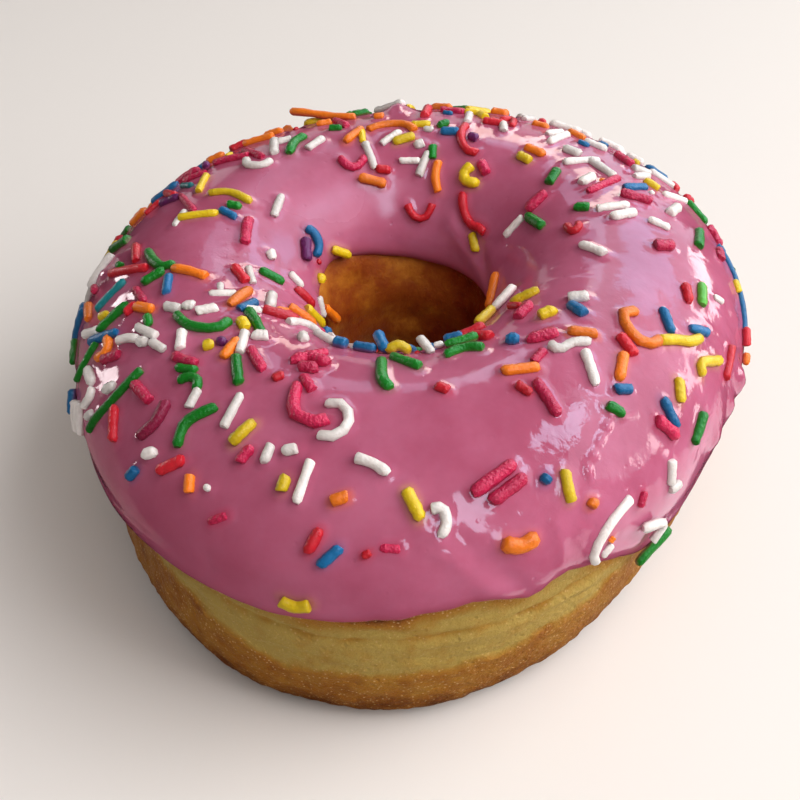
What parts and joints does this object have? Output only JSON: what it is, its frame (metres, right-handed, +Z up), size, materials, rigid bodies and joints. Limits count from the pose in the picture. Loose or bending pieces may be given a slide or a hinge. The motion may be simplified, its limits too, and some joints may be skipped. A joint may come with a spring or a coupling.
{
  "type": "sprinkle frosted doughnut",
  "caption": "Ring doughnut of fried yeast dough with an open hole and a glossy frosting shell over its top half.",
  "frame": {"origin": "middle of the footprint, at the level of the flat underside the ring stands on", "axes": "+Z up through the hole, -Y towards the side where the frosting's edge is highest above the underside"},
  "size_m": [0.0888, 0.0918, 0.0413],
  "materials": {
    "fried_dough": "matt, pale around the middle and browned below",
    "set_frosting": "glossy pink sugar glaze"
  },
  "bodies": {
    "root": {"dough_ring": "fried_dough", "frosting": "set_frosting"}
  },
  "joints": []
}
